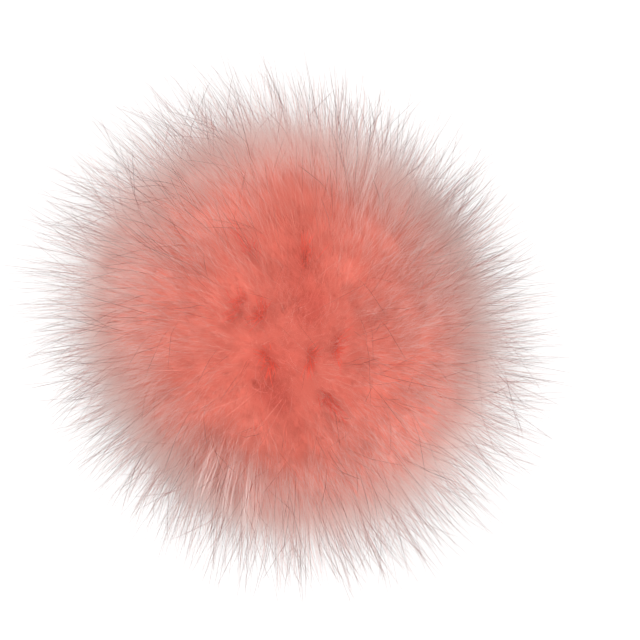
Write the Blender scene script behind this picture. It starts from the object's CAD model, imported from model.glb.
# %% [markdown]
# # A faux-fur pom pom on a sew-on snap
#
# The real thing is a round of long-pile faux fur, gathered over its stuffing into a
# ball, with a pressed steel snap sewn under it. Solids at the real size already hold
# its place: they are loaded first and never moved. Everything below dresses them.

# %% The fixed frame
import math

import bmesh
import bpy
import numpy as np
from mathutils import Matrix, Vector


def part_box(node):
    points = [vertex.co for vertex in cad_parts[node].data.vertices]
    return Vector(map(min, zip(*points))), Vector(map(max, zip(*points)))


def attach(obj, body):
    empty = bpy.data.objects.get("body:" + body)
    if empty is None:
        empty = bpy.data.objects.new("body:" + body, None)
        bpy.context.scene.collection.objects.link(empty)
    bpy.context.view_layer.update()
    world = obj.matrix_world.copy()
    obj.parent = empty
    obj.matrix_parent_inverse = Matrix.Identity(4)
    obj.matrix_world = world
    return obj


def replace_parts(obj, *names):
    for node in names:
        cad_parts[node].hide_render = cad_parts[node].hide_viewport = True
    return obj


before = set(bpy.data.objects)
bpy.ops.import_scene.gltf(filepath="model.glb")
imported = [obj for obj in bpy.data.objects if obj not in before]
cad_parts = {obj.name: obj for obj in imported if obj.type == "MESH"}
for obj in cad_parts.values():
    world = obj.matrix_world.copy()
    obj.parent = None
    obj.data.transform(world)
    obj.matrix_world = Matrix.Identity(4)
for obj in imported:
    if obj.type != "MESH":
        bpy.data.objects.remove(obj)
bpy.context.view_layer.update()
MM = 0.001
print("solids:", sorted(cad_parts))

# %% [markdown]
# ## Measures
#
# The snap's box gives its radius and height. The ball's middle is where the solids
# have it. The photograph looks straight down on the ball at 4.04 pixels to the
# millimetre, so a pixel of it can be named as a direction from the ball's middle.

# %% Measures
_, (SNAP_RADIUS, _, _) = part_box("snap_socket_half")
_, (_, _, snap_top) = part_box("snap_stud_half")
SEAT_GAP = 0.3 * MM
SEAT_LEVEL = snap_top + SEAT_GAP
BALL_MIDDLE = np.array([0, 0, 47]) * MM

PHOTO_SIDE = 640
PIXELS_PER_MM = 4.04
BALL_PIXEL = (289, 327.5)
SKIN_RADIUS = 45.7 * MM  # of the fur's ground, which the hairs stand on
DENSE_RADIUS = 52 * MM  # where the pile looks solid in the photograph
print(f"snap radius {SNAP_RADIUS / MM:.1f} mm, seat at {SEAT_LEVEL / MM:.1f} mm")


def seen_at(across, down):
    """The direction from the ball's middle to the point of the pile under a pixel: its
    place to the side is read off the photograph, and its height is that of a sphere."""
    side = np.array([across - BALL_PIXEL[0], BALL_PIXEL[1] - down]) / PIXELS_PER_MM
    side = side * MM / DENSE_RADIUS
    return np.array([*side, math.sqrt(1 - side @ side)])


# %% [markdown]
# ## Camera, floor and light
#
# The photograph is a cut-out on white, taken face on. A long lens straight above the
# ball gives that view, and its focal length follows from the width it has to take in.
# A softly glowing white floor and a white sky stand in for a light table.

# %% Camera
CAMERA_DISTANCE = 0.8  # from the ball's middle
CAMERA_SEES_TO = 10  # m
SENSOR = 36  # mm
view_width = PHOTO_SIDE / PIXELS_PER_MM * MM
camera_data = bpy.data.cameras.new("camera")
camera_data.sensor_width = SENSOR
camera_data.lens = SENSOR * CAMERA_DISTANCE / view_width
camera_data.clip_end = CAMERA_SEES_TO
camera = bpy.data.objects.new("camera", camera_data)
camera.location = (
    (PHOTO_SIDE / 2 - BALL_PIXEL[0]) / PIXELS_PER_MM * MM,
    (BALL_PIXEL[1] - PHOTO_SIDE / 2) / PIXELS_PER_MM * MM,
    BALL_MIDDLE[2] + CAMERA_DISTANCE,
)
bpy.context.scene.collection.objects.link(camera)
bpy.context.scene.camera = camera
print(f"lens {camera_data.lens:.0f} mm")


# %% Nodes of a material
def link(tree, source, target):
    """Wires an output of one node to an input of another."""
    tree.links.new(source, target)


def new_material(name, roughness=0.5, metallic=0.0):
    """A material with its Principled shader, returned with its node tree and shader."""
    made = bpy.data.materials.new(name)
    made.use_nodes = True
    shader = made.node_tree.nodes["Principled BSDF"]
    shader.inputs["Roughness"].default_value = roughness
    shader.inputs["Metallic"].default_value = metallic
    return made, made.node_tree, shader


# %% Floor
FLOOR_HALF = 3.0
FLOOR_LEVEL = -0.05 * MM  # a hair's breadth under the snap
FLOOR_GREY = 0.25
FLOOR_GLOW = 0.74
FLOOR_ROUGHNESS = 0.9
floor_mesh = bpy.data.meshes.new("floor")
floor_corners = [(-1, -1), (1, -1), (1, 1), (-1, 1)]
floor_points = [(FLOOR_HALF * x, FLOOR_HALF * y, FLOOR_LEVEL) for x, y in floor_corners]
floor_mesh.from_pydata(floor_points, [], [(0, 1, 2, 3)])
floor = bpy.data.objects.new("floor", floor_mesh)
bpy.context.scene.collection.objects.link(floor)
floor_white, floor_tree, floor_shader = new_material("floor_white", FLOOR_ROUGHNESS)
floor_shader.inputs["Base Color"].default_value = (FLOOR_GREY, FLOOR_GREY, FLOOR_GREY, 1)
floor_shader.inputs["Emission Color"].default_value = (1, 1, 1, 1)
floor_shader.inputs["Emission Strength"].default_value = FLOOR_GLOW
floor_mesh.materials.append(floor_white)

# Seen from below the floor is clear, so that the snap shows there.
floor_side = floor_tree.nodes.new("ShaderNodeNewGeometry")
floor_clear = floor_tree.nodes.new("ShaderNodeBsdfTransparent")
floor_mix = floor_tree.nodes.new("ShaderNodeMixShader")
link(floor_tree, floor_side.outputs["Backfacing"], floor_mix.inputs["Fac"])
link(floor_tree, floor_shader.outputs["BSDF"], floor_mix.inputs[1])
link(floor_tree, floor_clear.outputs["BSDF"], floor_mix.inputs[2])
floor_out = floor_tree.nodes["Material Output"]
link(floor_tree, floor_mix.outputs["Shader"], floor_out.inputs["Surface"])

# %% [markdown]
# The sky's strength falls from SKY_LOW at the horizon to SKY_HIGH straight above.
# SKY_SIDES times -2xy is added, where x and y point right and up in the photograph, so
# the sky is brightest towards its upper left and lower right, as the light is there.

# %% Sky
SKY_LOW, SKY_HIGH = 2.3, 1.0
SKY_SIDES = 1.3
sky = bpy.data.worlds.new("sky")
sky.use_nodes = True
sky_tree = sky.node_tree
sky_shader = sky_tree.nodes["Background"]
sky_shader.inputs["Color"].default_value = (1, 1, 1, 1)
sky_way = sky_tree.nodes.new("ShaderNodeTexCoord")
sky_split = sky_tree.nodes.new("ShaderNodeSeparateXYZ")
sky_fall = sky_tree.nodes.new("ShaderNodeMapRange")
sky_fall.inputs["To Min"].default_value = SKY_LOW
sky_fall.inputs["To Max"].default_value = SKY_HIGH
sky_cross = sky_tree.nodes.new("ShaderNodeMath")
sky_cross.operation = "MULTIPLY"
sky_sum = sky_tree.nodes.new("ShaderNodeMath")
sky_sum.operation = "MULTIPLY_ADD"
sky_sum.inputs[1].default_value = -2 * SKY_SIDES
link(sky_tree, sky_way.outputs["Generated"], sky_split.inputs[0])
link(sky_tree, sky_split.outputs["X"], sky_cross.inputs[0])
link(sky_tree, sky_split.outputs["Y"], sky_cross.inputs[1])
link(sky_tree, sky_split.outputs["Z"], sky_fall.inputs["Value"])
link(sky_tree, sky_cross.outputs[0], sky_sum.inputs[0])
link(sky_tree, sky_fall.outputs["Result"], sky_sum.inputs[2])
link(sky_tree, sky_sum.outputs[0], sky_shader.inputs["Strength"])
bpy.context.scene.world = sky
bpy.context.scene.view_settings.view_transform = "Standard"


# %% Lamp
KEY_PLACE = (-0.05, 0.1, 1.1)  # nearly straight above
KEY_SIZE = 1.2
KEY_POWER = 3.25  # W


def softbox(name, place, size, power):
    """A square lamp that looks at the ball's middle."""
    lamp = bpy.data.lights.new(name, "AREA")
    lamp.size = size
    lamp.energy = power
    made = bpy.data.objects.new(name, lamp)
    made.location = place
    across, up, high = np.array(place) - BALL_MIDDLE
    tilt = math.atan2(math.hypot(across, up), high)
    made.rotation_euler = (tilt, 0, math.atan2(up, across) + math.pi / 2)
    bpy.context.scene.collection.objects.link(made)


softbox("key", KEY_PLACE, KEY_SIZE, KEY_POWER)

# %% [markdown]
# ## How a hair is made
#
# A hair is a needle with three sides: a few rings of three points along a bent line,
# closed at the root and drawn to one point at the tip. Tens of thousands are worked
# out together, as one array of hair by ring by corner, and put into one mesh.
# Blender's own hair curves would be fewer lines, but they have no mesh that other
# programs could read.
#
# Each hair has a place on a small map: across is its tone, a random number that it
# partly shares with its neighbours, and up is how far out a point lies, because this
# fur is coral inside and pale outside. The colours read only that map, so a whole pile
# can wear one small picture.

# %% Mesh from arrays
rng = np.random.default_rng(7)


def unit(vectors):
    """Vectors at length 1: each is divided by its own length."""
    return vectors / np.linalg.norm(vectors, axis=-1, keepdims=True)


def mesh_object(name, points, face_sets, material, uv_sets=None, normals=None):
    """Puts points and sets of faces with equally many corners into a smooth mesh. uv_sets
    has a map place for each corner of each face, and normals one direction a point."""
    mesh = bpy.data.meshes.new(name)
    loops = np.concatenate([faces.reshape(-1) for faces in face_sets])
    sizes = np.concatenate([np.full(len(faces), faces.shape[1]) for faces in face_sets])
    mesh.vertices.add(len(points))
    mesh.vertices.foreach_set("co", np.ascontiguousarray(points, np.float32).ravel())
    mesh.loops.add(len(loops))
    mesh.loops.foreach_set("vertex_index", loops.astype(np.int32))
    mesh.polygons.add(len(sizes))
    starts = np.concatenate([[0], np.cumsum(sizes)[:-1]])
    mesh.polygons.foreach_set("loop_start", starts.astype(np.int32))
    mesh.polygons.foreach_set("use_smooth", np.ones(len(sizes), bool))
    if uv_sets is not None:
        layer = mesh.uv_layers.new(name="OFBake")
        places = np.concatenate([uv.reshape(-1, 2) for uv in uv_sets])
        layer.uv.foreach_set("vector", places.astype(np.float32).ravel())
    mesh.update(calc_edges=True)
    mesh.validate()
    if normals is not None:
        mesh.normals_split_custom_set_from_vertices(normals)
    mesh.materials.append(material)
    made = bpy.data.objects.new(name, mesh)
    bpy.context.scene.collection.objects.link(made)
    return made


def triangle_count(thing):
    """How many triangles a mesh's faces make: two fewer than the corners of each."""
    sizes = np.empty(len(thing.data.polygons), np.int32)
    thing.data.polygons.foreach_get("loop_total", sizes)
    return int((sizes - 2).sum())


# %% Where the hairs stand
GOLDEN_ANGLE = math.pi * (3 - math.sqrt(5))
BARE_ANGLE = math.radians(16.5)  # round straight down, where the snap is sewn on


def even_directions(count):
    """Directions spread evenly: the nth turns on by the golden angle and steps down
    by an equal height, so that each has the same share of the sphere."""
    step = np.arange(count) + 0.5
    height = 1 - 2 * step / count
    ring = np.sqrt(1 - height**2)
    turn = step * GOLDEN_ANGLE
    return np.stack([ring * np.cos(turn), ring * np.sin(turn), height], 1)


def tufts(count, hairs_each, tuft_spread, root_spread):
    """Root directions and tuft directions of count tufts of hairs. The tufts are even
    directions moved at random, and each root is its tuft's moved at random again."""
    middle = unit(even_directions(count) + rng.normal(0, tuft_spread, (count, 3)))
    tone = np.repeat(rng.random(count), hairs_each)
    middle = np.repeat(middle, hairs_each, axis=0)
    root = unit(middle + rng.normal(0, root_spread, middle.shape))
    kept = root[:, 2] > -math.cos(BARE_ANGLE)
    return root[kept], middle[kept], tone[kept]


# %% [markdown]
# ## How the pile lies
#
# Faux fur never stands straight. Wandering fields make neighbours lean alike. The
# pile's own weight, a slight twirl round the ball and a splay off the snap bend it
# further. So do the partings, which show in the photograph as short deep creases or
# darker hollows, where the hairs lean away from each other. The ball is a little uneven
# in size too, as a gathered one is.

# %% Waves over the sphere
def waves(count, scale, wide=1):
    """A smooth random field over directions: count sine waves, each with its own
    direction, start and random weights, added up. It has about unit size."""
    ways = rng.normal(0, scale, (3, count))
    starts = rng.uniform(0, 2 * math.pi, count)
    weights = rng.normal(0, math.sqrt(2 / count), (count, wide))
    return lambda way: np.sin(way @ ways + starts) @ weights


# How many waves each field has, and how fine they are.
wander = waves(12, 3.0, wide=3)
eddies = waves(60, 20.0, wide=3)
swell = waves(16, 5.0)
lumps = waves(60, 16.0)

# %% Partings
PARTINGS = (
    # from across and down and to across and down, in pixels of the photograph, how
    # strongly it opens, 0 to 1, and how wide it is, in radians
    (238, 234, 256, 252, 0.45, 0.03),
    (308, 236, 311, 258, 0.7, 0.035),
    (304, 200, 308, 262, 0.55, 0.12),
    (317, 298, 316, 308, 0.85, 0.06),
    (239, 293, 232, 312, 0.35, 0.025),
    (264, 306, 256, 316, 0.3, 0.025),
    (266, 354, 272, 374, 0.5, 0.03),
    (268, 392, 280, 408, 0.9, 0.07),
    (272, 380, 286, 430, 0.5, 0.12),
    (348, 334, 340, 360, 0.3, 0.025),
    (317, 355, 313, 367, 0.3, 0.025),
    (326, 396, 340, 412, 0.3, 0.025),
    (300, 430, 296, 450, 0.6, 0.06),
    (180, 374, 196, 366, 0.3, 0.04),
)
PARTING_PUSH = 0.02  # how far the tips lean aside there
PARTING_DIP = 4.0  # the share of the radius that it dips, for a width of 1
PARTING_DEPTH = 0.78  # how much further in the colours lie there
seams = np.array([(seen_at(*row[:2]), seen_at(*row[2:4])) for row in PARTINGS])


def partings(way):
    """How near directions are to a parting, 0 to 1, which way its hairs open, and how
    far it dips, as a share of the radius. Near is a bell curve of the distance to the
    nearest point of the parting's line, the opening points away from that point, and
    the dip is near times PARTING_DIP times the square of the parting's width."""
    nearness = np.zeros(way.shape[:-1])
    dip = np.zeros(way.shape[:-1])
    opening = np.zeros(way.shape)
    for (start, end), (*_, strength, wide) in zip(seams, PARTINGS):
        line = end - start
        share = np.clip((way - start) @ line / (line @ line), 0, 1)
        apart = way - start - share[:, None] * line
        near = strength * np.exp(-(apart**2).sum(1) / (2 * wide**2))
        nearness = np.maximum(nearness, near)
        dip = np.maximum(dip, PARTING_DIP * wide**2 * near)
        opening += near[:, None] * apart / wide
    return np.minimum(nearness, 1), opening, dip


# %% Lean and reach
WANDER = 0.035  # how far this and the next four lean the tips, as shares of the radius
EDDY = 0.015
WEIGHT = 0.03
SPLAY, SPLAY_FROM = 0.12, 0.75  # outwards from the snap, and from how far down the ball
TWIRL = 0.055  # round the ball, counterclockwise seen from above
OVAL = 0.034  # the ball is this share longer along LONG_WAY, and shorter across it
LONG_WAY = math.radians(140)
SWELL = 0.014  # the share by which the slow field moves the surface
LOPSIDED = np.array([0.008, -0.013, 0])  # longer at this side, and shorter at the other


def lean(way):
    """How far the tips lean off the directions of their roots: the wandering fields,
    the weight, which points down, a splay off the snap, a twirl round the ball and the
    opening of a parting. What lies along the root's own direction is taken off."""
    _, opening, _ = partings(way)
    total = WANDER * wander(way) + EDDY * eddies(way) + PARTING_PUSH * opening
    total[:, 2] -= WEIGHT
    low = np.clip((-way[:, 2] - SPLAY_FROM) / (1 - SPLAY_FROM), 0, 1)[:, None]
    total += SPLAY * low * unit(way * (1, 1, 0))
    total += TWIRL * np.cross([0, 0, 1], way)
    return total - (total * way).sum(1, keepdims=True) * way


def sideways(way, along):
    """1 at the sides along an angle, -1 across it and 0 on top: a cosine of twice the
    angle between them, times the square of the distance from the upright axis."""
    turn = np.arctan2(way[:, 1], way[:, 0]) - along
    return np.cos(2 * turn) * (1 - way[:, 2] ** 2)


def reach_share(way):
    """How far the pile reaches in a direction, as a share of its mean: more along
    LONG_WAY, the swell, more to one side, and less where a parting dips."""
    _, _, dip = partings(way)
    oval = OVAL * sideways(way, LONG_WAY)
    return 1 + oval + SWELL * swell(way)[:, 0] + way @ LOPSIDED - dip


# %% [markdown]
# The lowest hairs would reach through the floor. They are pressed into a thin layer
# above it and pushed outwards by what they lose in height, as real pile splays.

# %% Pressed on the floor
PRESS_LEVEL = 7 * MM
FLOOR_GAP = 0.3 * MM  # the layer thins out towards this height
PUSH = 0.7
SNAP_CLEAR = 0.6 * MM


def laid_on_floor(points):
    """Below PRESS_LEVEL, height falls off towards FLOOR_GAP as an exponential, which
    starts with no kink, and the distance from the axis grows by PUSH of the rise. Next
    to the snap, points are moved out to clear its edge."""
    layer = PRESS_LEVEL - FLOOR_GAP
    depth = np.maximum(PRESS_LEVEL - points[..., 2], 0)
    height = np.where(depth > 0, FLOOR_GAP + layer * np.exp(-depth / layer), points[..., 2])
    out = np.linalg.norm(points[..., :2], axis=-1)
    wanted = out + PUSH * (height - points[..., 2])
    low = height < SEAT_LEVEL
    wanted = np.where(low, np.maximum(wanted, SNAP_RADIUS + SNAP_CLEAR), wanted)
    scale = wanted / np.maximum(out, MM / 10)
    return np.concatenate([points[..., :2] * scale[..., None], height[..., None]], -1)


# %% Ground of the fur
GROUND_LUMP = 0.3 * MM


def ground_radius(way):
    """The ground's distance from the ball's middle: SKIN_RADIUS by the pile's reach,
    plus fine lumps."""
    return SKIN_RADIUS * reach_share(way) + GROUND_LUMP * lumps(way)[:, 0]


# %% Height on the colour map
COLOUR_START, COLOUR_END = 42 * MM, 68 * MM  # the map's lower and upper edge
TOP_DYE, TOP_DYE_POWER = 0.55, 3
SIDE_FADE = 0.2
PALE_WAY, PALE_WAY_FADE = math.radians(165), 0.1


def dyed(way):
    """How soon the pile turns pale in a direction: 1 underneath, less on top, where the
    dye reaches further out, and more at the sides, the most along PALE_WAY."""
    top = TOP_DYE * np.clip(way[:, 2], 0, 1) ** TOP_DYE_POWER
    side = SIDE_FADE * (1 - way[:, 2] ** 2) ** 2
    return (1 - top + side) * (1 + PALE_WAY_FADE * sideways(way, PALE_WAY))


def map_height(radius, depth):
    """The height of a radius on the map, 0 at COLOUR_START and 1 at COLOUR_END, times
    depth: more of it is paler, and less shows colours from further in."""
    return np.clip((radius - COLOUR_START) / (COLOUR_END - COLOUR_START) * depth, 0, 1)


# %% Hairs from arrays
HAIR_SIDES = 3
ROOT_DEPTH = 2 * MM  # how deep in the ground a hair starts
MAP_STEP = 0.002  # across the map, from one corner of a ring to the next
MAP_EDGE = 0.01
# A hair's rings, as shares of its length and of its width.
STRAIGHT = ((0.0, 1.0),)
BENT = ((0.0, 1.0), (0.7, 1.0))
FINE = ((0.0, 1.0), (0.55, 1.0), (0.88, 0.75))


def hair_lines(root_way, tip_way, tip_radius, along, bend):
    """The points along hairs and their distances from the ball's middle. A point lies
    at its share along the way from the ground to tip_radius, in a direction that turns
    from root_way to tip_way as that share to the power of bend. Over the flat seat a
    hair starts there, and not at the round ground."""
    turn = (along**bend)[None, :, None]
    way = unit(root_way[:, None] * (1 - turn) + tip_way[:, None] * turn)
    seat_reach = (BALL_MIDDLE[2] - SEAT_LEVEL) / np.maximum(-root_way[:, 2], MM)
    start = (np.minimum(ground_radius(root_way), seat_reach) - ROOT_DEPTH)[:, None]
    radius = start + (tip_radius[:, None] - start) * along
    return laid_on_floor(BALL_MIDDLE + way * radius[..., None]), radius


def hair_faces(hairs, rings):
    """The faces of hairs with so many rings each, as numbers of points: quads from ring
    to ring, triangles up to the tip, and one that closes the root."""
    per_hair = rings * HAIR_SIDES + 1
    first = (np.arange(hairs) * per_hair)[:, None, None]
    ring = np.arange(rings - 1)[:, None, None] * HAIR_SIDES
    corner = np.arange(HAIR_SIDES)[:, None]
    after = (corner + 1) % HAIR_SIDES
    quads = ring + np.concatenate([corner, after, after + HAIR_SIDES, corner + HAIR_SIDES], 1)
    last = (rings - 1) * HAIR_SIDES
    tips = np.concatenate([corner + last, after + last, corner * 0 + per_hair - 1], 1)
    roots = corner[::-1].T
    faces = [first + some for some in (quads.reshape(-1, 4), tips, roots)]
    return [some.reshape(-1, some.shape[-1]) for some in faces if some.size]


def hair_map(tone, high, rings):
    """The place of each point on the colour map: its hair's tone across, a little apart
    from corner to corner, and its ring's height up."""
    corner = np.arange(HAIR_SIDES) - (HAIR_SIDES - 1) / 2
    across = np.append(np.tile(corner, rings), 0) * MAP_STEP
    place = np.empty((len(tone), len(across), 2))
    place[..., 0] = MAP_EDGE + (1 - 2 * MAP_EDGE) * tone[:, None] + across
    place[..., 1] = np.concatenate([np.repeat(high[:, :-1], HAIR_SIDES, axis=1), high[:, -1:]], 1)
    return place.reshape(-1, 2)


def needles(
    name, root_way, tip_way, tip_radius, width, tone, depth, material,
    shape=STRAIGHT, softness=1, bend=1.0,
):
    """Tapered hairs in one mesh: the corners of each ring stand round the hair's own
    direction. The normals are turned towards the ball's own by softness, so that a hair
    is shaded mostly as the ball is, which is how light that passes through fine hairs
    evens them out. depth multiplies a point's height on the colour map."""
    hairs, rings = len(root_way), len(shape)
    along = np.array([row[0] for row in shape] + [1.0])
    thick = np.array([row[1] for row in shape])
    line, radius = hair_lines(root_way, tip_way, tip_radius, along, bend)
    forward = unit(np.gradient(line, axis=1))
    spin = rng.normal(0, 1, (hairs, 1, 3))
    side = unit(np.cross(forward, spin))
    other = np.cross(forward, side)
    angle = 2 * math.pi * np.arange(HAIR_SIDES)[:, None] / HAIR_SIDES
    spoke = side[:, :-1, None] * np.cos(angle) + other[:, :-1, None] * np.sin(angle)
    corners = line[:, :-1, None] + spoke * (width[:, None, None, None] / 2 * thick[:, None, None])
    corners[..., 2] = np.maximum(corners[..., 2], FLOOR_GAP / 2)
    points = np.concatenate([corners.reshape(hairs, -1, 3), line[:, -1:]], 1)
    ball = unit(points - BALL_MIDDLE)
    own = np.concatenate([spoke.reshape(hairs, -1, 3), forward[:, -1:]], 1)
    normals = unit(softness * ball + (1 - softness) * own)
    high = map_height(radius / reach_share(root_way)[:, None], depth[:, None])
    place = hair_map(tone, high, rings)
    faces = hair_faces(hairs, rings)
    uv_sets = [place[some] for some in faces]
    made = mesh_object(
        name, points.reshape(-1, 3), faces, material, uv_sets, normals.reshape(-1, 3)
    )
    print(f"{name}: {hairs} hairs, {triangle_count(made)} triangles")
    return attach(made, "root")


# %% Colours along a hair
def ramp(tree, stops, source):
    """A colour ramp with (place, colour) stops."""
    node = tree.nodes.new("ShaderNodeValToRGB")
    node.color_ramp.elements.remove(node.color_ramp.elements[0])
    node.color_ramp.elements[0].position = stops[0][0]
    node.color_ramp.elements[0].color = (*stops[0][1], 1)
    for place, colour in stops[1:]:
        node.color_ramp.elements.new(place).color = (*colour, 1)
    link(tree, source, node.inputs["Fac"])
    return node.outputs["Color"]


FUR_SHINE = 0.05


def fur_material(name, dark_stops, light_stops, roughness=0.7):
    """Mixes two ramps along the hair by the hair's tone."""
    made, tree, shader = new_material(name, roughness)
    place = tree.nodes.new("ShaderNodeUVMap")
    place.uv_map = "OFBake"
    split = tree.nodes.new("ShaderNodeSeparateXYZ")
    link(tree, place.outputs["UV"], split.inputs[0])
    mix = tree.nodes.new("ShaderNodeMix")
    mix.data_type = "RGBA"
    link(tree, split.outputs["X"], mix.inputs["Factor"])
    link(tree, ramp(tree, dark_stops, split.outputs["Y"]), mix.inputs["A"])
    link(tree, ramp(tree, light_stops, split.outputs["Y"]), mix.inputs["B"])
    link(tree, mix.outputs["Result"], shader.inputs["Base Color"])
    shader.inputs["Specular IOR Level"].default_value = FUR_SHINE
    return made


CREASE = (0.98, 0.145, 0.1)
CORAL_DEEP = (0.68, 0.14, 0.105)
CORAL = (0.87, 0.23, 0.17)
SALMON = (0.88, 0.33, 0.27)
PINK = (0.91, 0.50, 0.44)
PINK_GREY = (0.91, 0.64, 0.59)
PALE_GREY = (0.84, 0.70, 0.67)
SMOKE = (0.42, 0.30, 0.29)
RUST = (0.45, 0.10, 0.07)
BROWN = (0.22, 0.055, 0.045)
BLACK = (0.05, 0.018, 0.016)
ROSE = (0.84, 0.45, 0.40)
DUSTY = (0.68, 0.40, 0.36)
UMBER = (0.34, 0.17, 0.15)

pile_fur = fur_material(
    "fur_pile",
    [
        (0, CREASE), (0.015, CORAL_DEEP), (0.035, CORAL_DEEP), (0.075, CORAL), (0.145, CORAL),
        (0.2, SALMON), (0.268, PINK), (0.355, PINK_GREY), (0.54, PALE_GREY), (0.85, SMOKE),
    ],
    [
        (0, CREASE), (0.015, CORAL_DEEP), (0.035, CORAL_DEEP), (0.07, CORAL), (0.125, CORAL),
        (0.18, SALMON), (0.242, PINK), (0.325, PINK_GREY), (0.51, PALE_GREY),
    ],
)
long_fur = fur_material(
    "fur_long",
    [(0, CORAL), (0.15, CORAL), (0.24, SALMON), (0.38, ROSE), (0.6, DUSTY), (0.9, UMBER)],
    [(0, CORAL), (0.12, CORAL), (0.2, SALMON), (0.34, PINK), (0.6, ROSE), (1.0, DUSTY)],
)
guard_fur = fur_material(
    "fur_guard",
    [(0.0, CORAL), (0.15, CORAL), (0.3, RUST), (0.5, BROWN), (0.7, BLACK), (1.0, BROWN)],
    [(0.0, CORAL), (0.2, SALMON), (0.4, RUST), (0.7, BROWN), (1.0, BROWN)],
    roughness=0.5,
)

# %% Ground mesh
RINGS, ROUNDS = 120, 180
GROUND_TONE, GROUND_PATCHES = 0.5, 0.1
GROUND_FADE = 0.15  # how much sooner it turns pale at the sides than the hairs do


def fur_ground():
    """A sphere on a grid of angles, a little lumpy, and flat where the snap is sewn on:
    its radius is ground_radius, and heights below the seat are raised to it."""
    down = np.linspace(0, math.pi, RINGS + 1)[1:-1]
    turn = np.linspace(0, 2 * math.pi, ROUNDS, endpoint=False)
    down, turn = np.meshgrid(down, turn, indexing="ij")
    way = np.stack([np.sin(down) * np.cos(turn), np.sin(down) * np.sin(turn), np.cos(down)], -1)
    way = np.concatenate([way.reshape(-1, 3), [[0, 0, 1.0], [0, 0, -1.0]]])
    points = BALL_MIDDLE + way * ground_radius(way)[:, None]
    points[:, 2] = np.maximum(points[:, 2], SEAT_LEVEL)
    row = np.arange(RINGS - 2)[:, None] * ROUNDS
    here = np.arange(ROUNDS)
    after = (here + 1) % ROUNDS
    quads = np.stack([row + here, row + ROUNDS + here, row + ROUNDS + after, row + after], -1)
    north = np.full(ROUNDS, len(way) - 2)
    last = (RINGS - 2) * ROUNDS
    caps = np.concatenate([
        np.stack([here, after, north], 1),
        np.stack([last + after, last + here, north + 1], 1),
    ])
    nearness, _, _ = partings(way)
    tone = np.clip(GROUND_TONE + GROUND_PATCHES * eddies(way)[:, 0], 0, 1)
    depth = (1 - PARTING_DEPTH * nearness) * (dyed(way) + GROUND_FADE * (1 - way[:, 2] ** 2))
    place = np.stack([tone, map_height(SKIN_RADIUS, depth)], 1)
    faces = [quads.reshape(-1, 4), caps]
    uv_sets = [place[some] for some in faces]
    ball = mesh_object("fur_ground", points, faces, pile_fur, uv_sets)
    print("fur_ground:", triangle_count(ball), "triangles")
    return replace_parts(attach(ball, "root"), "fur_ball")


fur_ground()

# %% [markdown]
# ## The pile
#
# Real pile is several kinds of hair at once. A short undercoat hides the ground, and
# three lengths of down make the misty body, each finer than the one before. Long hairs
# make the halo. A few stiff hairs with dark ends stick out in little groups. Each kind
# is one call of the same function, and its hairs stand in tufts, which partly share
# their lean and their tone.

# %% A kind of hair
BEND_POWER = 1.3
TUFT_SPREAD = 0.02  # how far a tuft stands off its even place
TUFT_TONE = 0.5  # the share of a hair's tone that it has from its tuft
PATCHINESS = 0.5
THICKNESS = (0.6, 1.4)  # of the thinnest and the thickest hair, as shares of the mean


def pile(
    name, count, reach, skew, width, shape, material, spread, gather, stray,
    softness=1, bend=BEND_POWER, thinned=0, dye=1,
):
    """Tufted hairs from the ground to a random reach between two radii, where a skew
    over 1 makes more of them short. count is of tufts and of hairs in each. A tuft's
    roots spread, and its tips gather: 0 leaves each over its root, 1 meets in a point.
    All lean as the pile does, and stray at random besides, the whole tuft and then each
    hair. What is thinned is sparse on top and comes in patches. dye is how much of the
    pile's dye on top a kind takes."""
    tuft_count, hairs_each = count
    root, middle, tone = tufts(tuft_count, hairs_each, TUFT_SPREAD, spread)
    drawn = root * (1 - gather) + middle * gather
    tuft_stray = np.repeat(rng.normal(0, stray[0], (tuft_count, 3)), hairs_each, axis=0)
    own_stray = rng.normal(0, stray[1], root.shape)
    tip = unit(drawn + lean(middle) + tuft_stray[: len(root)] + own_stray)
    patchy = thinned * (np.clip(root[:, 2], 0, 1) + PATCHINESS * lumps(middle)[:, 0])
    kept = rng.random(len(root)) >= patchy
    root, tone, tip = root[kept], tone[kept], tip[kept]
    low, high = reach
    radius = (low + (high - low) * rng.random(len(root)) ** skew) * reach_share(tip)
    nearness, _, _ = partings(root)
    tone = TUFT_TONE * tone + (1 - TUFT_TONE) * rng.random(len(root))
    thick = width * rng.uniform(*THICKNESS, len(root))
    depth = (1 - PARTING_DEPTH * nearness) * (1 + dye * (dyed(root) - 1))
    return needles(
        name, root, tip, radius, thick, tone, depth, material, shape, softness, bend
    )


# %% Undercoat
pile(
    "undercoat", (3900, 10), (47.5 * MM, 52 * MM), 1.0, 0.13 * MM, STRAIGHT, pile_fur,
    spread=0.03, gather=0.1, stray=(0.025, 0.05),
)

# %% Down
pile(
    "down_a", (4900, 10), (48 * MM, 58 * MM), 1.2, 0.07 * MM, STRAIGHT, pile_fur,
    spread=0.04, gather=0.1, stray=(0.02, 0.05),
)
pile(
    "down_b", (4900, 10), (49 * MM, 62 * MM), 1.3, 0.045 * MM, STRAIGHT, pile_fur,
    spread=0.05, gather=0.0, stray=(0.01, 0.05),
)
pile(
    "down_c", (4900, 10), (50 * MM, 66 * MM), 1.4, 0.035 * MM, STRAIGHT, pile_fur,
    spread=0.05, gather=0.1, stray=(0.015, 0.05),
)

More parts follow.
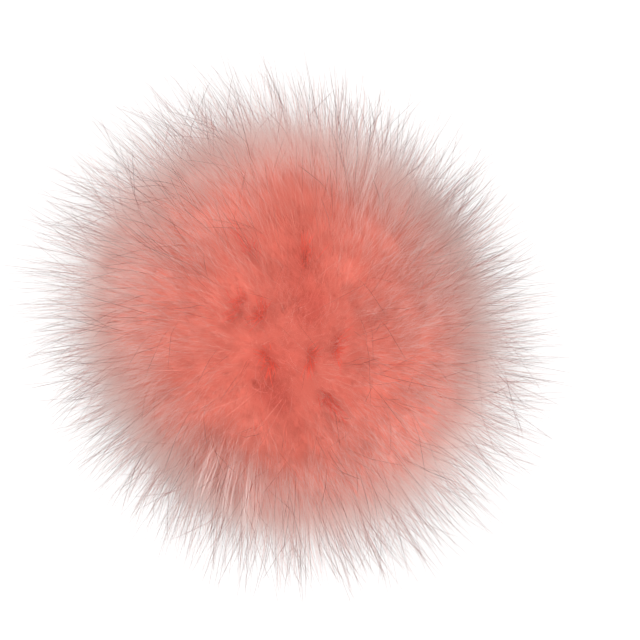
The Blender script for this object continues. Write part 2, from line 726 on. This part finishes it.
# %% Long hairs and guard hairs
pile(
    "long_hairs", (900, 6), (57 * MM, 72.5 * MM), 1.0, 0.04 * MM, BENT, long_fur,
    spread=0.03, gather=0.15, stray=(0.04, 0.025),
)
pile(
    "tipped_hairs", (800, 3), (60 * MM, 72.5 * MM), 0.8, 0.055 * MM, FINE, guard_fur,
    spread=0.025, gather=0.2, stray=(0.07, 0.025), softness=0.6, bend=1.0,
    thinned=0.7, dye=0.35,
)
pile(
    "guard_hairs", (440, 3), (53 * MM, 66 * MM), 1.0, 0.075 * MM, FINE, guard_fur,
    spread=0.02, gather=0.3, stray=(0.14, 0.07), softness=0.5, bend=1.0,
    thinned=0.4, dye=0,
)

# %% [markdown]
# Three small kinds lie where the pile differs. A few thin tufts have turned pale
# further in. Short red hairs lie along the narrow creases. A ring of short fuzz grows
# up to the snap's edge.

# %% Pale streaks
STREAKS = (
    # from across and down and to across and down, in pixels of the photograph
    (240, 418, 226, 520),
    (222, 430, 204, 500),
    (252, 440, 246, 530),
    (352, 190, 362, 130),
    (368, 196, 384, 140),
)
STREAK_HAIRS = 26
STREAK_SPREAD = 0.03
STREAK_REACH = (54 * MM, 62 * MM)
STREAK_FLATTEST = 0.97  # the furthest aside that a tip lies, as a share of its radius
STREAK_WIDTH = 0.06 * MM
STREAK_TONES = (0.6, 1)
STREAK_PALE = 1.2


def streaks():
    """Thin pale tufts. Each runs from a root direction, at random round the first
    pixel, towards the second."""
    start = np.repeat([seen_at(*row[:2]) for row in STREAKS], STREAK_HAIRS, axis=0)
    far = np.repeat([row[2:] for row in STREAKS], STREAK_HAIRS, axis=0) - BALL_PIXEL
    root = unit(start + rng.normal(0, STREAK_SPREAD, start.shape))
    side = far * (1, -1) / PIXELS_PER_MM * MM
    radius = rng.uniform(*STREAK_REACH, len(root))
    flat = np.minimum(np.linalg.norm(side, axis=1) / radius, STREAK_FLATTEST)
    tip = np.concatenate([unit(side) * flat[:, None], np.sqrt(1 - flat**2)[:, None]], 1)
    tip = unit(tip + rng.normal(0, STREAK_SPREAD, tip.shape))
    thick = STREAK_WIDTH * rng.uniform(*THICKNESS, len(root))
    tone = rng.uniform(*STREAK_TONES, len(root))
    depth = STREAK_PALE * dyed(root)
    needles("pale_streaks", root, tip, radius, thick, tone, depth, pile_fur, BENT)


streaks()

# %% Hairs in the creases
CREASE_WIDEST = 0.04  # of the partings that have such hairs
CREASE_HAIRS = 40
CREASE_SPREAD = 0.012
CREASE_RUN = 0.045  # how far a tip lies along the parting from its root
CREASE_STRAY = 0.02
CREASE_REACH = (50 * MM, 54.5 * MM)
CREASE_WIDTH = 0.16 * MM
CREASE_THICKNESS = (0.7, 1.2)


def crease_hairs():
    """Short hairs that lie along the narrow partings, where the deepest colour shows.
    Their roots are spread evenly along a parting and at random across it."""
    narrow = np.array([wide < CREASE_WIDEST for *_, wide in PARTINGS])
    start = np.repeat(seams[narrow, 0], CREASE_HAIRS, 0)
    end = np.repeat(seams[narrow, 1], CREASE_HAIRS, 0)
    share = rng.random((len(start), 1))
    root = unit(start + share * (end - start) + rng.normal(0, CREASE_SPREAD, start.shape))
    along = unit(end - start) * rng.choice([-1, 1], (len(start), 1))
    tip = unit(root + CREASE_RUN * along + rng.normal(0, CREASE_STRAY, start.shape))
    radius = rng.uniform(*CREASE_REACH, len(root)) * reach_share(tip)
    thick = CREASE_WIDTH * rng.uniform(*CREASE_THICKNESS, len(root))
    tone = rng.random(len(root))
    depth = np.zeros(len(root))
    needles(
        "crease_hairs", root, tip, radius, thick, tone, depth, pile_fur, BENT, softness=0.8
    )


crease_hairs()

# %% Fuzz round the snap
SEAT_HAIRS = 9500
SEAT_RING = (math.radians(15.7), math.radians(26))  # off straight down
SEAT_REACH = (46.5 * MM, 51 * MM)
SEAT_LEAN = 0.07
SEAT_STRAY = 0.06
SEAT_WIDTH = 0.11 * MM
SEAT_PALE = (0.7, 2.0)  # multiplies a hair's height on the colour map, at random


def seat_fuzz():
    """Short hairs in a ring round the snap, where the pile is combed away from it. Their
    roots are even over the ring, and they lean outwards."""
    height = -rng.uniform(math.cos(SEAT_RING[1]), math.cos(SEAT_RING[0]), SEAT_HAIRS)
    turn = rng.uniform(0, 2 * math.pi, SEAT_HAIRS)
    ring = np.sqrt(1 - height**2)
    outward = np.stack([np.cos(turn), np.sin(turn), 0 * turn], 1)
    root = outward * ring[:, None] + [0, 0, 1] * height[:, None]
    tip = unit(root + SEAT_LEAN * outward + rng.normal(0, SEAT_STRAY, root.shape))
    radius = rng.uniform(*SEAT_REACH, SEAT_HAIRS)
    thick = SEAT_WIDTH * rng.uniform(*THICKNESS, SEAT_HAIRS)
    tone = rng.random(SEAT_HAIRS)
    depth = rng.uniform(*SEAT_PALE, SEAT_HAIRS)
    needles("seat_fuzz", root, tip, radius, thick, tone, depth, pile_fur, softness=0.6)


seat_fuzz()

# %% [markdown]
# ## The snap
#
# Two halves are pressed from thin steel and nickel-plated. Each is a profile turned
# once round the axis, with its corners rounded as a press leaves them, and six oval
# sewing slots cut through it. The lower half has a rolled rim with a fine groove, a
# steep wall and shallow rings pressed round its hole. The spring is a bent wire whose
# outer ends are held by the rim.

# %% Steel
def noise(tree, scale, detail):
    """Cloudy noise, 0 to 1, over the piece's own metres."""
    where = tree.nodes.new("ShaderNodeTexCoord")
    clouds = tree.nodes.new("ShaderNodeTexNoise")
    clouds.inputs["Scale"].default_value = scale
    clouds.inputs["Detail"].default_value = detail
    link(tree, where.outputs["Object"], clouds.inputs["Vector"])
    return clouds.outputs["Fac"]


NOISE_RANGE = (0.3, 0.7)  # where most of the noise lies


def spread_over(tree, source, low, high):
    """Turns the middling values of a noise into low to high."""
    fall = tree.nodes.new("ShaderNodeMapRange")
    fall.inputs["From Min"].default_value = NOISE_RANGE[0]
    fall.inputs["From Max"].default_value = NOISE_RANGE[1]
    fall.inputs["To Min"].default_value = low
    fall.inputs["To Max"].default_value = high
    link(tree, source, fall.inputs["Value"])
    return fall.outputs["Result"]


NICKEL_DARK = (0.52, 0.50, 0.49)
NICKEL = (0.76, 0.75, 0.74)
WHITE = (1, 1, 1)
TARNISH = (0.34, 0.31, 0.30)  # multiplies the nickel on steep walls, where polish wears last
CLOUDS = (240, 5)  # scale and detail of the patches of colour
SMEARS = (420, 3)  # and of the patches of gloss
GLOSS = (0.18, 0.4)  # the roughness in them
PLAIN_GLOSS = 0.28  # the roughness for a program that doesn't read the nodes
RING_SCALE, RING_WAVER = 900, 3  # how fine the turning marks are, and how uneven
RING_STRENGTH, RING_DEPTH = 0.25, 0.02 * MM


def steel_colour(tree):
    """Cloudy nickel, darker where a face stands steep, which is where the upright part
    of its normal is small."""
    face = tree.nodes.new("ShaderNodeTexCoord")
    slope = tree.nodes.new("ShaderNodeSeparateXYZ")
    flat = tree.nodes.new("ShaderNodeMath")
    flat.operation = "ABSOLUTE"
    link(tree, face.outputs["Normal"], slope.inputs[0])
    link(tree, slope.outputs["Z"], flat.inputs[0])
    mix = tree.nodes.new("ShaderNodeMix")
    mix.data_type = "RGBA"
    mix.blend_type = "MULTIPLY"
    mix.inputs["Factor"].default_value = 1
    nickel = ramp(tree, [(0.3, NICKEL_DARK), (0.5, NICKEL), (1.0, NICKEL)], noise(tree, *CLOUDS))
    wall = ramp(tree, [(0.5, TARNISH), (0.93, WHITE)], flat.outputs[0])
    link(tree, nickel, mix.inputs["A"])
    link(tree, wall, mix.inputs["B"])
    return mix.outputs["Result"]


def turning_marks(tree):
    """Fine rings round the axis, as a bump."""
    where = tree.nodes.new("ShaderNodeTexCoord")
    rings = tree.nodes.new("ShaderNodeTexWave")
    rings.wave_type = "RINGS"
    rings.rings_direction = "Z"
    rings.inputs["Scale"].default_value = RING_SCALE
    rings.inputs["Distortion"].default_value = RING_WAVER
    link(tree, where.outputs["Object"], rings.inputs["Vector"])
    bump = tree.nodes.new("ShaderNodeBump")
    bump.inputs["Strength"].default_value = RING_STRENGTH
    bump.inputs["Distance"].default_value = RING_DEPTH
    link(tree, rings.outputs["Fac"], bump.inputs["Height"])
    return bump.outputs["Normal"]


steel, steel_tree, steel_shader = new_material("snap_steel", PLAIN_GLOSS, metallic=1.0)
smears = spread_over(steel_tree, noise(steel_tree, *SMEARS), *GLOSS)
link(steel_tree, steel_colour(steel_tree), steel_shader.inputs["Base Color"])
link(steel_tree, smears, steel_shader.inputs["Roughness"])
link(steel_tree, turning_marks(steel_tree), steel_shader.inputs["Normal"])

# %% Turned halves
TURN_STEPS = 96
ROUND_STEPS = 4
SHARP = math.radians(35)


def rounded(profile):
    """Rounds the corners of a closed profile. A row is radius, height and how far from
    the corner its rounding starts, in mm, and the rounding is a parabola."""
    rows = np.array(profile) * MM
    corner = rows[:, None, :2]
    size = rows[:, None, 2:]
    start = corner + unit(np.roll(corner, 1, 0) - corner) * size
    end = corner + unit(np.roll(corner, -1, 0) - corner) * size
    share = np.linspace(0, 1, ROUND_STEPS + 1)[:, None]
    curve = (1 - share) ** 2 * start + 2 * share * (1 - share) * corner + share**2 * end
    return curve.reshape(-1, 2)


def turned(name, profile):
    """The rounded profile turned round the upright axis, each step by an equal angle.
    Points that fall together, as on the axis, are merged."""
    line = rounded(profile)
    turn = 2 * math.pi * np.arange(TURN_STEPS)[:, None] / TURN_STEPS
    high = np.broadcast_to(line[:, 1], (TURN_STEPS, len(line)))
    points = np.stack([line[:, 0] * np.cos(turn), line[:, 0] * np.sin(turn), high], -1)
    row = np.arange(TURN_STEPS)[:, None] * len(line)
    far = (row + len(line)) % (TURN_STEPS * len(line))
    here = np.arange(len(line))
    after = (here + 1) % len(line)
    quads = np.stack([row + here, far + here, far + after, row + after], -1).reshape(-1, 4)
    made = mesh_object(name, points.reshape(-1, 3), [quads], steel)
    tidy = bmesh.new()
    tidy.from_mesh(made.data)
    bmesh.ops.remove_doubles(tidy, verts=tidy.verts, dist=MM / 1000)
    bmesh.ops.recalc_face_normals(tidy, faces=tidy.faces)
    tidy.to_mesh(made.data)
    tidy.free()
    return made


SLOT_COUNT = 6
SLOT_CIRCLE = 9.3 * MM
SLOT_LENGTH = 3.9 * MM
SLOT_WIDTH = 2.6 * MM
SLOT_STEPS = 12  # round half of a slot


def slot_cutter():
    """Six upright oval bars. An oval is two half circles, long along the way round."""
    half = np.linspace(0, math.pi, SLOT_STEPS + 1)
    angle = np.concatenate([half, half + math.pi])
    straight = (SLOT_LENGTH - SLOT_WIDTH) / 2
    shift = np.repeat([straight, -straight], SLOT_STEPS + 1)
    out = SLOT_CIRCLE + SLOT_WIDTH / 2 * np.cos(angle)
    along = shift + SLOT_WIDTH / 2 * np.sin(angle)
    turn = (2 * math.pi * np.arange(SLOT_COUNT) / SLOT_COUNT)[:, None]
    across = out * np.cos(turn) - along * np.sin(turn)
    up = out * np.sin(turn) + along * np.cos(turn)
    bars = [np.stack([across, up, 0 * up + end], -1) for end in (-SNAP_RADIUS, SNAP_RADIUS)]
    points = np.stack(bars, 1)
    sides = len(angle)
    first = (np.arange(SLOT_COUNT) * 2 * sides)[:, None, None]
    corner = np.arange(sides)
    after = (corner + 1) % sides
    walls = first + np.stack([corner, after, after + sides, corner + sides], -1)
    ends = first + np.stack([corner[::-1], corner + sides])
    faces = [walls.reshape(-1, 4), ends.reshape(-1, sides)]
    return mesh_object("slots", points.reshape(-1, 3), faces, steel)


def cut_slots(piece, cutter):
    """Cuts the slots for good, and keeps smooth shading off the edges of the cut."""
    cut = piece.modifiers.new("slots", "BOOLEAN")
    cut.operation = "DIFFERENCE"
    cut.object = cutter
    graph = bpy.context.evaluated_depsgraph_get()
    piece.data = bpy.data.meshes.new_from_object(piece.evaluated_get(graph))
    piece.modifiers.clear()
    piece.data.set_sharp_from_angle(angle=SHARP)
    print(f"{piece.name}: {triangle_count(piece)} triangles")
    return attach(piece, "root")


SOCKET_PROFILE = (
    # radius, height and rounding in mm: lip, groove and rolled rim
    (11.55, 0.10, 0.06),
    (11.80, 0.10, 0.05),
    (11.86, 0.30, 0.03),
    (11.94, 0.00, 0.08),
    (12.50, 0.00, 0.24),
    (12.50, 1.10, 0.20),
    (12.30, 2.20, 0.30),
    (11.30, 2.70, 0.40),
    # edge of the hole
    (4.90, 2.70, 0.15),
    (4.65, 2.50, 0.10),
    (4.65, 2.18, 0.08),
    (4.80, 2.06, 0.06),
    # rings pressed round it, then plate and wall
    (5.20, 2.06, 0.08),
    (5.45, 2.24, 0.10),
    (6.15, 2.24, 0.10),
    (6.45, 2.38, 0.10),
    (7.30, 2.38, 0.12),
    (7.80, 2.20, 0.18),
    (10.75, 2.20, 0.50),
    (11.45, 0.90, 0.50),
)
STUD_PROFILE = (
    # the plate's back and its turned-up edge
    (0.00, 3.50, 0.00),
    (11.30, 3.50, 0.30),
    (11.80, 4.00, 0.20),
    (11.80, 4.60, 0.08),
    (12.30, 4.60, 0.12),
    (12.50, 4.40, 0.12),
    (12.50, 3.50, 0.20),
    (12.00, 3.00, 0.25),
    # neck and head
    (4.20, 3.00, 0.40),
    (3.00, 2.50, 0.25),
    (2.50, 1.90, 0.25),
    (2.50, 1.30, 0.25),
    (3.20, 0.85, 0.18),
    (3.70, 0.50, 0.14),
    (3.50, 0.20, 0.14),
    (2.60, 0.00, 0.10),
    (2.25, 0.00, 0.12),
    (1.95, 0.08, 0.12),
    (0.00, 0.08, 0.00),
)
cutter = slot_cutter()
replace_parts(cut_slots(turned("snap_socket", SOCKET_PROFILE), cutter), "snap_socket_half")
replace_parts(cut_slots(turned("snap_stud", STUD_PROFILE), cutter), "snap_stud_half")
bpy.data.objects.remove(cutter)

# %% Rods along a line
def rods(name, lines, across, thickness, sides, material):
    """Round rods with blunt ends along lines, an array of rod by point. across stands
    square to the plane that a rod's line lies in, and a ring's corners turn from it."""
    forward = unit(np.gradient(lines, axis=1))
    first = np.broadcast_to(across[:, None], lines.shape)
    second = np.cross(forward, first)
    angle = 2 * math.pi * np.arange(sides)[:, None] / sides
    spoke = first[:, :, None] * np.cos(angle) + second[:, :, None] * np.sin(angle)
    points = lines[:, :, None] + spoke * thickness / 2
    per_rod = lines.shape[1] * sides
    start = (np.arange(len(lines)) * per_rod)[:, None, None]
    ring = np.arange(lines.shape[1] - 1)[:, None] * sides
    corner = np.arange(sides)
    after = (corner + 1) % sides
    here, there = ring + corner, ring + after
    quads = np.stack([here, there, there + sides, here + sides], -1)
    ends = np.stack([corner[::-1], corner + per_rod - sides])
    faces = [(start + quads.reshape(-1, 4)).reshape(-1, 4), (start + ends).reshape(-1, sides)]
    made = mesh_object(name, points.reshape(-1, 3), faces, material)
    made.data.set_sharp_from_angle(angle=SHARP)
    print(f"{name}: {triangle_count(made)} triangles")
    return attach(made, "root")


# %% Spring
# All in mm, and places are right and up as the snap's open back is seen.
WIRE_WIDTH = 0.6
WIRE_SIDES = 12
WIRE_LEVEL = 1.6
LEG_END = -6.2
ARC_STEPS = 24
RIM_HOLD = 0.7  # the straight end that the rim holds
LIMBS = {
    # middle and radius of the arch, middle and radius of the bend, and how far the bend
    # goes round in degrees
    "snap_spring_a": (-5.25, 2.8, 2.05, -8.8, -4.9, 1.5, 110),
    "snap_spring_b": (4.95, 3.6, 1.85, 9.3, -3.6, 1.3, 125),
}


def arc(right, up, radius, start, end):
    """Points on a circle round a middle, from one angle to another in degrees."""
    turn = np.radians(np.linspace(start, end, ARC_STEPS + 1))
    return np.stack([right + radius * np.cos(turn), up + radius * np.sin(turn)], 1)


def spring_limb(
    name, arch_right, arch_up, arch_radius, bend_right, bend_up, bend_radius, bend_turn
):
    """A straight leg, half a circle over its top, a bend the same way round on the far
    side, and a straight end under the rim."""
    side = math.copysign(1, arch_right)
    start = 90 + 90 * side
    leg = [(arch_right - side * arch_radius, LEG_END)]
    arch = arc(arch_right, arch_up, arch_radius, start, 180 - start)
    bend = arc(bend_right, bend_up, bend_radius, start, start + side * bend_turn)
    held = bend[-1:] + unit(bend[-1:] - bend[-2:-1]) * RIM_HOLD
    route = np.concatenate([leg, arch, bend, held])
    line = np.stack([-route[:, 0], route[:, 1], np.full(len(route), WIRE_LEVEL)], 1) * MM
    upright = np.array([[0, 0, 1.0]])
    wire = rods(f"{name}_wire", line[None], upright, WIRE_WIDTH * MM, WIRE_SIDES, steel)
    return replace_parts(wire, name)


for name, row in LIMBS.items():
    spring_limb(name, *row)

# %% [markdown]
# Thread sews the upper half to the ball. It comes down through each slot, runs under
# the plate to its edge and goes back up into the fur, four times side by side.

# %% Stitches
THREAD_WIDTH = 0.24
THREAD_SIDES = 6
THREADS = 4
THREAD_SPACE = 0.45
TWIST = (2500, 2)  # scale and detail of the thread's noise
stitch_path = np.array([
    # radius and height in mm, from inside the ball round the plate and back
    (10.15, 5.60),
    (10.15, 4.40),
    (10.20, 3.50),
    (10.30, 3.05),
    (10.55, 2.86),
    (11.20, 2.85),
    (11.90, 2.86),
    (12.30, 2.98),
    (12.62, 3.35),
    (12.68, 4.00),
    (12.60, 4.80),
    (12.40, 5.60),
])
thread, thread_tree, thread_shader = new_material("thread", roughness=0.75)
twist = noise(thread_tree, *TWIST)
thread_colour = ramp(thread_tree, [(0.3, CORAL_DEEP), (0.7, SALMON)], twist)
link(thread_tree, thread_colour, thread_shader.inputs["Base Color"])
slot_turn = np.repeat(2 * math.pi * np.arange(SLOT_COUNT) / SLOT_COUNT, THREADS)
aside = np.tile((np.arange(THREADS) - (THREADS - 1) / 2) * THREAD_SPACE, SLOT_COUNT)
outward = np.stack([np.cos(slot_turn), np.sin(slot_turn), 0 * slot_turn], 1)
around = np.stack([-np.sin(slot_turn), np.cos(slot_turn), 0 * slot_turn], 1)
stitch_lines = outward[:, None] * stitch_path[:, :1] + around[:, None] * aside[:, None, None]
stitch_lines[..., 2] = stitch_path[:, 1]
rods("stitches", stitch_lines * MM, around, THREAD_WIDTH * MM, THREAD_SIDES, thread)
